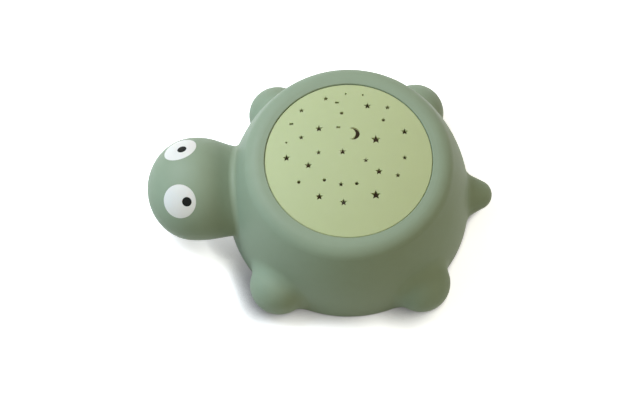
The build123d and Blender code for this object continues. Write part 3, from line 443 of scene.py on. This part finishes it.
def moulded_plastic(name, colour, finish, roughness, mottle, depth, rub=None, grain=1.0):
    """A moulded plastic or rubber finish, with its edges rubbed where a share is given."""
    material, tree, shader = new_material(name)
    skin = place_group(
        tree,
        moulded_skin_group(),
        Colour=colour,
        Grain=grain / finish.grain_size,
        Mottle=mottle,
        Roughness=roughness,
    )
    tinted = skin["Color"]
    if rub:
        lighter = [min(1.0, RUB_GAIN * c + RUB_LIFT) for c in colour]
        rubbed = place_group(tree, edge_rub_group(), Colour=tinted, Rubbed_colour=lighter, Amount=rub)
        tinted = rubbed["Color"]
    tree.links.new(tinted, shader.inputs["Base Color"])
    tree.links.new(skin["Roughness"], shader.inputs["Roughness"])
    bump(tree, shader, skin["Height"], depth)
    return material, shader


def plated_metal(name, colour, roughness, stretch):
    """A plated metal finish with drawn lines."""
    material, tree, shader = new_material(name)
    group = drawn_metal_group()
    metal = place_group(tree, group, Colour=colour, Roughness=roughness, Line_stretch=stretch)
    tree.links.new(metal["Color"], shader.inputs["Base Color"])
    tree.links.new(metal["Roughness"], shader.inputs["Roughness"])
    shader.inputs["Metallic"].default_value = 1.0
    bump(tree, shader, metal["Height"], strength=0.15, distance=0.02 * MM)
    return material


def dress(material, *names):
    """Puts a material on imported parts."""
    for name in names:
        slots = NODES[name].data.materials
        slots.clear()
        slots.append(material)


def new_piece(name, mesh, material, body):
    """A piece made here, riding on a body, with the given material."""
    mesh.materials.append(material)
    piece = bpy.data.objects.new(name, mesh)
    bpy.context.scene.collection.objects.link(piece)
    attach(piece, body)
    return piece


def turned(name, profile, steps):
    """A mesh turned about Z from (radius, height) points that start and end on the axis."""
    shape = bmesh.new()
    turns = [2 * pi * step / steps for step in range(steps)]
    rings = []
    for radius, height in profile:
        if radius == 0:
            rings.append([shape.verts.new((0, 0, height))])
        else:
            rings.append([shape.verts.new((radius * cos(t), radius * sin(t), height)) for t in turns])
    for lower, upper in zip(rings, rings[1:]):
        for step in range(steps):
            after = (step + 1) % steps
            if len(lower) == 1:
                shape.faces.new((lower[0], upper[after], upper[step]))
            elif len(upper) == 1:
                shape.faces.new((lower[step], lower[after], upper[0]))
            else:
                shape.faces.new((lower[step], lower[after], upper[after], upper[step]))
    bmesh.ops.recalc_face_normals(shape, faces=shape.faces)
    mesh = bpy.data.meshes.new(name)
    shape.to_mesh(mesh)
    shape.free()
    return mesh


def cross_cutter(width, length, depth):
    """The point of a cross driver: two bars that narrow towards their tip at the top."""
    shape = bmesh.new()
    for along, across in ((length, width), (width, length)):
        bottom = [(-along, -across), (along, -across), (along, across), (-along, across)]
        low = [shape.verts.new((x / 2, y / 2, -depth)) for x, y in bottom]
        high = [shape.verts.new((x * TIP_X, y * TIP_Y, depth)) for x, y in bottom]
        shape.faces.new(low[::-1])
        shape.faces.new(high)
        for step in range(4):
            after = (step + 1) % 4
            shape.faces.new((low[step], low[after], high[after], high[step]))
    mesh = bpy.data.meshes.new("cross_cutter")
    shape.to_mesh(mesh)
    shape.free()
    return mesh


def screw_mesh(name, details, head_radius, head_height, shank_radius, reach):
    """A pan-head screw that points up, its seat at the origin, with a cross recess and a thread."""
    edge = HEAD_EDGE * head_height
    profile = [
        (0, -head_height),
        (head_radius - edge, -head_height),
        (head_radius - HEAD_ROUND * edge, -head_height + HEAD_ROUND * edge),
        (head_radius, -head_height + edge),
        (head_radius, 0),
        (shank_radius, 0),
    ]
    turns = int((reach - shank_radius) / details.thread_pitch)
    core = THREAD_CORE * shank_radius
    for turn in range(turns):
        height = (turn + 0.25) * details.thread_pitch
        profile += [(core, height), (shank_radius, height + details.thread_pitch / 2)]
    profile += [(core, reach - shank_radius / 2), (0, reach)]
    head = bpy.data.objects.new(name, turned(name, profile, details.round_steps))
    recess = cross_cutter(details.recess_width, RECESS_REACH * head_radius, details.recess_depth)
    cutter = bpy.data.objects.new("cross_cutter", recess)
    cutter.location.z = -head_height
    for temporary in (head, cutter):
        bpy.context.scene.collection.objects.link(temporary)
    cut = head.modifiers.new("Cross recess", "BOOLEAN")
    cut.operation = "DIFFERENCE"
    cut.solver = "EXACT"
    cut.use_self = True
    cut.object = cutter
    bpy.context.view_layer.update()
    evaluated = head.evaluated_get(bpy.context.evaluated_depsgraph_get())
    mesh = bpy.data.meshes.new_from_object(evaluated)
    for temporary in (head, cutter):
        bpy.data.objects.remove(temporary)
    return mesh


def copies(name, mesh, places):
    """One mesh with a copy of another at each place."""
    shape = bmesh.new()
    for place in places:
        one = mesh.copy()
        one.transform(Matrix.Translation(place))
        shape.from_mesh(one)
        bpy.data.meshes.remove(one)
    joined = bpy.data.meshes.new(name)
    shape.to_mesh(joined)
    shape.free()
    joined.set_sharp_from_angle(angle=SHARP_ANGLE)
    return joined


def ring_mesh(shape, centre, radius, stroke, top, bottom, steps):
    """A flat raised ring added to a shape."""
    turns = [2 * pi * step / steps for step in range(steps)]
    levels = []
    for height in (top, bottom):
        for reach in (radius - stroke / 2, radius + stroke / 2):
            places = [(centre.x + reach * cos(t), centre.y + reach * sin(t), height) for t in turns]
            levels.append([shape.verts.new(place) for place in places])
    inner_top, outer_top, inner_low, outer_low = levels
    for step in range(steps):
        after = (step + 1) % steps
        for one, two in (
            (inner_low, outer_low),
            (outer_low, outer_top),
            (outer_top, inner_top),
            (inner_top, inner_low),
        ):
            shape.faces.new((one[step], one[after], two[after], two[step]))


class TURTLE_OT_shell(bpy.types.Operator):
    """Give the shell its soft matte sage skin"""

    bl_idname = "turtle.shell"
    bl_label = "Finish shell"

    def execute(self, context):
        finish = context.scene.turtle_finish
        material, shader = moulded_plastic(
            "Sage skin",
            finish.shell_colour,
            finish,
            roughness=finish.skin_roughness,
            mottle=finish.mottle,
            depth=finish.grain_depth,
        )
        shader.inputs["Specular IOR Level"].default_value = 0.3
        dress(material, "shell")
        return {"FINISHED"}


class TURTLE_OT_dome(bpy.types.Operator):
    """Give the pierced dome its pale, slightly translucent plastic"""

    bl_idname = "turtle.dome"
    bl_label = "Finish dome"

    def execute(self, context):
        finish = context.scene.turtle_finish
        material, shader = moulded_plastic(
            "Pale dome",
            finish.dome_colour,
            finish,
            roughness=0.62,
            mottle=0.6 * finish.mottle,
            depth=0.8 * finish.grain_depth,
        )
        shader.inputs["Specular IOR Level"].default_value = 0.25
        shader.inputs["Subsurface Weight"].default_value = 0.15
        shader.inputs["Subsurface Radius"].default_value = (0.8, 1.0, 0.5)
        shader.inputs["Subsurface Scale"].default_value = 1.0 * MM
        dress(material, "star_dome")
        return {"FINISHED"}


class TURTLE_OT_eyes(bpy.types.Operator):
    """Finish the white eyes and the black pupils"""

    bl_idname = "turtle.eyes"
    bl_label = "Finish eyes"

    def execute(self, context):
        finish = context.scene.turtle_finish
        white, shader = moulded_plastic(
            "Eye white", finish.eye_colour, finish, roughness=0.38, mottle=0.03, depth=0.04
        )
        shader.inputs["Subsurface Weight"].default_value = 0.05
        shader.inputs["Subsurface Scale"].default_value = 0.5 * MM
        black, shader = moulded_plastic(
            "Pupil black", finish.pupil_colour, finish, roughness=0.35, mottle=0.10, depth=0.03
        )
        shader.inputs["Specular IOR Level"].default_value = 0.12
        dress(white, "eye_left", "eye_right")
        dress(black, "pupil_left", "pupil_right")
        return {"FINISHED"}


class TURTLE_OT_underside(bpy.types.Operator):
    """Finish the base plate, the battery door, the rubber pads and the switch, and mark the switch"""

    bl_idname = "turtle.underside"
    bl_label = "Finish underside"

    def execute(self, context):
        finish = context.scene.turtle_finish
        details = context.scene.turtle_details
        plate, _ = moulded_plastic(
            "Grained base",
            finish.base_colour,
            finish,
            roughness=0.6,
            mottle=0.06,
            depth=0.22,
            rub=0.35,
            grain=0.7,
        )
        pads, _ = moulded_plastic(
            "Pad rubber", finish.pad_colour, finish, roughness=0.82, mottle=0.12, depth=0.3, rub=0.3
        )
        knob, _ = moulded_plastic(
            "Knob black", finish.knob_colour, finish, roughness=0.45, mottle=0.08, depth=0.12, rub=0.5
        )
        dress(plate, "base_plate", "battery_door")
        dress(pads, "foot_pads")
        dress(knob, "switch_knob")
        low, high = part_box("switch_knob")
        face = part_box("base_plate")[0].z
        middle = (low + high) / 2
        travel = next(j for j in frame["joints"] if j["child"] == "power_switch")["range_m"][1]
        shape = bmesh.new()
        size, stroke = details.mark_size, details.mark_stroke
        off = Vector((middle.x, low.y - details.mark_gap - size / 2, face))
        on = Vector((middle.x, high.y + travel + details.mark_gap + size / 2, face))
        top, bottom = face + details.mark_height, face - details.mark_height
        ring_mesh(shape, off, (size - stroke) / 2, stroke, top, bottom, details.round_steps)
        bar = Matrix.Translation(on) @ Matrix.Diagonal((stroke, size, 2 * details.mark_height, 1))
        bar_verts = bmesh.ops.create_cube(shape, size=1.0, matrix=bar)["verts"]
        bar_edges = {e for v in bar_verts for e in v.link_edges}
        bmesh.ops.bevel(shape, geom=list(bar_edges), offset=MARK_ROUND, segments=2, affect="EDGES")
        bmesh.ops.recalc_face_normals(shape, faces=shape.faces)
        mesh = bpy.data.meshes.new("switch_marks")
        shape.to_mesh(mesh)
        shape.free()
        new_piece("switch_marks", mesh, plate, "housing")
        return {"FINISHED"}


class TURTLE_OT_screws(bpy.types.Operator):
    """Replace the plain screws by threaded ones with a cross recess"""

    bl_idname = "turtle.screws"
    bl_label = "Make screws"

    def execute(self, context):
        finish = context.scene.turtle_finish
        details = context.scene.turtle_details
        steel = plated_metal(
            "Plated steel", finish.steel_colour, roughness=0.28, stretch=(1.0, 0.08, 1.0)
        )
        low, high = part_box("base_screws")
        head = details.head_radius
        seat = low.z + details.head_height
        across = (low.x + head, high.x - head), (low.y + head, high.y - head)
        places = [Vector((x, y, seat)) for x in across[0] for y in across[1]]
        screw = screw_mesh(
            "base_screw", details, head, details.head_height, details.shank_radius, high.z - seat
        )
        mesh = copies("base_screws_cut", screw, places)
        base = new_piece("base_screws_cut", mesh, steel, "housing")
        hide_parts("base_screws")
        low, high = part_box("door_screw")
        head = details.door_head_radius
        seat = low.z + details.door_head_height
        place = Vector(((low.x + high.x) / 2, (low.y + high.y) / 2, seat))
        screw = screw_mesh(
            "door_screw_cut",
            details,
            head,
            details.door_head_height,
            details.door_shank_radius,
            high.z - seat,
        )
        mesh = copies("door_screw_cut", screw, [place])
        door = new_piece("door_screw_cut", mesh, steel, "battery_door")
        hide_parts("door_screw")
        dress(steel, "board_screws", "hood_screws", "slide_switch")
        return {"FINISHED"}


def cell_sleeve(finish, name):
    """A cell's finish: bare metal ends, a pale film sleeve, and a band at the positive end."""
    low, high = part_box(name)
    corners = [v.co for v in NODES[name].data.vertices]
    nub = min(c.y for c in corners if abs(c.z - (low.z + high.z) / 2) < NUB_REACH)
    body = min(c.y for c in corners if c.z > high.z - BODY_EDGE)
    first, last = (low.y, high.y) if nub < body - NUB_STEP else (high.y, low.y)
    material, tree, shader = new_material(f"Sleeve of {name}")
    axis = tree.nodes.new("ShaderNodeSeparateXYZ")
    tree.links.new(object_place(tree), axis.inputs[0])
    along = tree.nodes.new("ShaderNodeMapRange")
    along.inputs["From Min"].default_value = first
    along.inputs["From Max"].default_value = last
    tree.links.new(axis.outputs["Y"], along.inputs["Value"])
    share = along.outputs["Result"]
    skin = place_group(
        tree, moulded_skin_group(), Colour=finish.sleeve_colour, Grain=900.0, Mottle=0.03, Roughness=0.3
    )
    banded = mix(tree, maths(tree, "LESS_THAN", share, BAND_END), skin["Color"], finish.band_colour)
    on_nub = maths(tree, "LESS_THAN", share, NUB_END)
    end = maths(tree, "ADD", on_nub, maths(tree, "GREATER_THAN", share, SLEEVE_END))
    metal = place_group(tree, drawn_metal_group(), Colour=finish.steel_colour, Roughness=0.25)
    tree.links.new(mix(tree, end, banded, metal["Color"]), shader.inputs["Base Color"])
    tree.links.new(end, shader.inputs["Metallic"])
    tree.links.new(skin["Roughness"], shader.inputs["Roughness"])
    return material


class TURTLE_OT_power(bpy.types.Operator):
    """Finish the cells and their contacts"""

    bl_idname = "turtle.power"
    bl_label = "Finish cells"

    def execute(self, context):
        finish = context.scene.turtle_finish
        for name in ("cell_1", "cell_2", "cell_3"):
            dress(cell_sleeve(finish, name), name)
        strip = plated_metal(
            "Contact strip", finish.contact_colour, roughness=0.3, stretch=(0.1, 1.0, 1.0)
        )
        dress(strip, "contact_positive", "contact_negative")
        dress(strip, "contact_bridge_front", "contact_bridge_rear")
        return {"FINISHED"}


def board_resist(name, resist, track):
    """A circuit board's coat, with the tracks under it showing as fine raised lines."""
    material, tree, shader = new_material(name)
    tracks = tree.nodes.new("ShaderNodeTexBrick")
    tree.links.new(object_place(tree), tracks.inputs["Vector"])
    tracks.inputs["Scale"].default_value = 220.0
    tracks.inputs["Mortar Size"].default_value = 0.03
    tracks.inputs["Color1"].default_value = (*resist, 1.0)
    tracks.inputs["Color2"].default_value = (*[0.9 * c for c in resist], 1.0)
    tracks.inputs["Mortar"].default_value = (*track, 1.0)
    coat = tracks.outputs["Color"]
    skin = place_group(
        tree, moulded_skin_group(), Colour=coat, Grain=1200.0, Mottle=0.05, Roughness=0.3
    )
    tree.links.new(skin["Color"], shader.inputs["Base Color"])
    tree.links.new(skin["Roughness"], shader.inputs["Roughness"])
    bump(tree, shader, tracks.outputs["Fac"], strength=0.2, distance=0.05 * MM)
    return material


class TURTLE_OT_electronics(bpy.types.Operator):
    """Finish the boards, the chip and the wires"""

    bl_idname = "turtle.electronics"
    bl_label = "Finish boards"

    def execute(self, context):
        finish = context.scene.turtle_finish
        green = board_resist("Board resist", finish.board_colour, finish.track_colour)
        dark = board_resist("Lamp board resist", finish.lamp_board_colour, finish.lamp_track_colour)
        chip, _ = moulded_plastic(
            "Chip epoxy", finish.chip_colour, finish, roughness=0.5, mottle=0.1, depth=0.2
        )
        dress(green, "main_board")
        dress(dark, "lamp_board")
        dress(chip, "control_chip")
        for wire, colour in (
            ("lead_positive", finish.plus_colour),
            ("lead_negative", finish.minus_colour),
            ("lamp_leads", finish.lamp_lead_colour),
        ):
            sleeve, _ = moulded_plastic(
                f"Cover of {wire}", colour, finish, roughness=0.35, mottle=0.06, depth=0.08
            )
            dress(sleeve, wire)
        return {"FINISHED"}


class TURTLE_OT_lamp(bpy.types.Operator):
    """Finish the lamp and the dark hood round it"""

    bl_idname = "turtle.lamp"
    bl_label = "Finish lamp"

    def execute(self, context):
        finish = context.scene.turtle_finish
        lens, shader = moulded_plastic(
            "Lamp lens", finish.lens_colour, finish, roughness=0.12, mottle=0.03, depth=0.02
        )
        shader.inputs["Transmission Weight"].default_value = 0.6
        shader.inputs["IOR"].default_value = 1.49
        hood, _ = moulded_plastic(
            "Hood dark", finish.hood_colour, finish, roughness=0.7, mottle=0.08, depth=0.15
        )
        dress(lens, "lamp")
        dress(hood, "light_hood")
        return {"FINISHED"}


def seen_directly(tree):
    """One where the camera, a reflection or glass sees a surface, nought where it lights the part."""
    path = tree.nodes.new("ShaderNodeLightPath").outputs
    seen = maths(tree, "MAXIMUM", path["Is Camera Ray"], path["Is Glossy Ray"])
    return maths(tree, "MAXIMUM", seen, path["Is Transmission Ray"])


def cover(tree, reach, lean):
    """How open a place on the floor is within a reach, looking along a lean."""
    node = tree.nodes.new("ShaderNodeAmbientOcclusion")
    node.inputs["Distance"].default_value = reach
    along = tree.nodes.new("ShaderNodeCombineXYZ")
    for axis, share in zip(along.inputs, lean):
        axis.default_value = share
    tree.links.new(along.outputs[0], node.inputs["Normal"])
    return node.outputs["AO"]


def contact_shade(tree, reach):
    """Dark at the part's foot and white a little further off, most of it towards the near left."""
    wide = spread(tree, cover(tree, reach, SHADE_LEAN), *SHADE_OPEN, SHADE_DARK, 0.0)
    tight = spread(tree, cover(tree, CORNER_SHARE * reach, CORNER_LEAN), *CORNER_OPEN, SHADE_DARK, 0.0)
    place = tree.nodes.new("ShaderNodeSeparateXYZ")
    tree.links.new(object_place(tree), place.inputs[0])
    near = spread(tree, place.outputs["Y"], *SHADE_FADE, 1.0, 0.0)
    dark = maths(tree, "MAXIMUM", maths(tree, "MULTIPLY", wide, near), tight)
    return maths(tree, "SUBTRACT", 1.0, dark)


def floor_material(studio):
    """A white floor that keeps the part's shadow, throws little light back and is clear from below."""
    material = bpy.data.materials.new("Studio floor")
    material.use_nodes = True
    tree = material.node_tree
    tree.nodes.clear()
    bounced = tree.nodes.new("ShaderNodeBsdfDiffuse")
    bounced.inputs["Color"].default_value = (*studio.bounce_colour, 1.0)
    shown = tree.nodes.new("ShaderNodeBsdfDiffuse")
    glow = tree.nodes.new("ShaderNodeEmission")
    glow.inputs["Strength"].default_value = studio.floor_glow
    shade = mix(tree, contact_shade(tree, studio.contact_reach), (0.0, 0.0, 0.0), studio.floor_colour)
    tree.links.new(shade, shown.inputs["Color"])
    tree.links.new(shade, glow.inputs["Color"])
    both = tree.nodes.new("ShaderNodeAddShader")
    tree.links.new(shown.outputs[0], both.inputs[0])
    tree.links.new(glow.outputs[0], both.inputs[1])
    choice = tree.nodes.new("ShaderNodeMixShader")
    tree.links.new(seen_directly(tree), choice.inputs[0])
    tree.links.new(bounced.outputs[0], choice.inputs[1])
    tree.links.new(both.outputs[0], choice.inputs[2])
    below = tree.nodes.new("ShaderNodeNewGeometry").outputs["Backfacing"]
    lit_from_below = tree.nodes.new("ShaderNodeLightPath").outputs["Is Shadow Ray"]
    one_sided = tree.nodes.new("ShaderNodeMixShader")
    tree.links.new(maths(tree, "MAXIMUM", below, lit_from_below), one_sided.inputs[0])
    tree.links.new(choice.outputs[0], one_sided.inputs[1])
    tree.links.new(tree.nodes.new("ShaderNodeBsdfTransparent").outputs[0], one_sided.inputs[2])
    output = tree.nodes.new("ShaderNodeOutputMaterial")
    tree.links.new(one_sided.outputs[0], output.inputs["Surface"])
    return material


def studio_world(studio):
    """Soft light from above the floor, seen as plain white."""
    world = bpy.data.worlds.new("Studio sky")
    world.use_nodes = True
    tree = world.node_tree
    tree.nodes.clear()
    light = tree.nodes.new("ShaderNodeBackground")
    light.inputs["Color"].default_value = (*studio.sky_colour, 1.0)
    toward = tree.nodes.new("ShaderNodeSeparateXYZ")
    tree.links.new(tree.nodes.new("ShaderNodeTexCoord").outputs["Generated"], toward.inputs[0])
    above = maths(tree, "GREATER_THAN", toward.outputs["Z"], 0.0)
    tree.links.new(maths(tree, "MULTIPLY", above, studio.sky_strength), light.inputs["Strength"])
    white = tree.nodes.new("ShaderNodeBackground")
    white.inputs["Color"].default_value = (1.0, 1.0, 1.0, 1.0)
    choice = tree.nodes.new("ShaderNodeMixShader")
    tree.links.new(seen_directly(tree), choice.inputs[0])
    tree.links.new(light.outputs[0], choice.inputs[1])
    tree.links.new(white.outputs[0], choice.inputs[2])
    output = tree.nodes.new("ShaderNodeOutputWorld")
    tree.links.new(choice.outputs[0], output.inputs["Surface"])
    return world


def area_lamp(name, place, size, power, colour, aim=LAMP_AIM):
    """A soft lamp that faces its aim."""
    data = bpy.data.lights.new(name, "AREA")
    data.size = size
    data.energy = power
    data.color = colour
    lamp = bpy.data.objects.new(name, data)
    lamp.location = place
    lamp.rotation_euler = (aim - place).to_track_quat("-Z", "Y").to_euler()
    bpy.context.scene.collection.objects.link(lamp)
    return lamp


class TURTLE_OT_stage(bpy.types.Operator):
    """Make the floor, the sky, the lamps and the camera"""

    bl_idname = "turtle.stage"
    bl_label = "Make studio"

    def execute(self, context):
        studio = context.scene.turtle_studio
        shape = bmesh.new()
        bmesh.ops.create_grid(shape, x_segments=1, y_segments=1, size=FLOOR_HALF)
        mesh = bpy.data.meshes.new("studio_floor")
        shape.to_mesh(mesh)
        shape.free()
        mesh.materials.append(floor_material(studio))
        floor = bpy.data.objects.new("studio_floor", mesh)
        floor.location.z = CAD_BOX[0].z
        context.scene.collection.objects.link(floor)
        context.scene.world = studio_world(studio)
        area_lamp("key_lamp", KEY_PLACE, KEY_SIZE, studio.key_power, studio.key_colour)
        area_lamp("cool_lamp", COOL_PLACE, FILL_SIZE, studio.cool_power, studio.cool_colour)
        area_lamp("warm_lamp", WARM_PLACE, FILL_SIZE, studio.warm_power, studio.warm_colour)
        under = area_lamp(
            "under_lamp", UNDER_PLACE, UNDER_SIZE, studio.under_power, studio.under_colour, UNDER_AIM
        )
        under.data.shape = "DISK"
        under.data.spread = UNDER_SPREAD
        under.visible_camera = False
        self.place_glow(context.scene, studio)
        self.place_camera(context.scene)
        context.scene.view_settings.view_transform = "Standard"
        return {"FINISHED"}

    def place_glow(self, scene, studio):
        """Put a faint light in the hood, for what the thin dome lets through in daylight."""
        low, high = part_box("light_hood")
        data = bpy.data.lights.new("hood_glow", "POINT")
        data.energy = studio.glow_power
        data.color = studio.glow_colour
        data.shadow_soft_size = GLOW_SIZE
        glow = bpy.data.objects.new("hood_glow", data)
        glow.location = ((low.x + high.x) / 2, (low.y + high.y) / 2, high.z - GLOW_DEPTH)
        glow.visible_camera = False
        scene.collection.objects.link(glow)

    def place_camera(self, scene):
        """Stand the camera at the elevation of the view, with its slight roll."""
        view = scene.turtle_view
        back = Vector((0, -cos(view.elevation), sin(view.elevation)))
        up = back.cross(Vector((1, 0, 0)))
        right = cos(view.roll) * Vector((1, 0, 0)) - sin(view.roll) * up
        above = sin(view.roll) * Vector((1, 0, 0)) + cos(view.roll) * up
        data = bpy.data.cameras.new("studio_camera")
        data.lens = view.lens
        data.sensor_width = 36.0
        camera = bpy.data.objects.new("studio_camera", data)
        place = view.aim_right * right + view.aim_up * above + view.distance * back
        turn = Matrix((right, above, back)).transposed().to_4x4()
        camera.matrix_world = Matrix.Translation(place) @ turn
        scene.collection.objects.link(camera)
        scene.camera = camera


OPERATORS = (
    TURTLE_OT_shell,
    TURTLE_OT_dome,
    TURTLE_OT_eyes,
    TURTLE_OT_underside,
    TURTLE_OT_screws,
    TURTLE_OT_power,
    TURTLE_OT_electronics,
    TURTLE_OT_lamp,
    TURTLE_OT_stage,
)


class TURTLE_PT_sidebar(bpy.types.Panel):
    """Lists the steps that dress the night light, with their sizes and colours"""

    bl_idname = "TURTLE_PT_sidebar"
    bl_label = "Turtle Night Light"
    bl_space_type = "VIEW_3D"
    bl_region_type = "UI"
    bl_category = "Night Light"

    def draw(self, context):
        for operator in OPERATORS:
            self.layout.operator(operator.bl_idname)
        for name in SETTINGS:
            box = self.layout.box()
            settings = getattr(context.scene, name)
            for prop in settings.bl_rna.properties:
                if prop.identifier not in ("rna_type", "name"):
                    box.prop(settings, prop.identifier)


SETTINGS = {
    "turtle_finish": TurtleFinish,
    "turtle_details": TurtleDetails,
    "turtle_view": TurtleView,
    "turtle_studio": TurtleStudio,
}


def register():
    for kind in (*SETTINGS.values(), *OPERATORS, TURTLE_PT_sidebar):
        bpy.utils.register_class(kind)
    for name, kind in SETTINGS.items():
        setattr(bpy.types.Scene, name, PointerProperty(type=kind))


def unregister():
    for name in SETTINGS:
        delattr(bpy.types.Scene, name)
    for kind in reversed((*SETTINGS.values(), *OPERATORS, TURTLE_PT_sidebar)):
        bpy.utils.unregister_class(kind)


def main():
    """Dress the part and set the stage."""
    register()
    bpy.ops.turtle.stage()
    bpy.ops.turtle.shell()
    bpy.ops.turtle.dome()
    bpy.ops.turtle.eyes()
    bpy.ops.turtle.underside()
    bpy.ops.turtle.screws()
    bpy.ops.turtle.power()
    bpy.ops.turtle.electronics()
    bpy.ops.turtle.lamp()


if __name__ == "__main__":
    main()
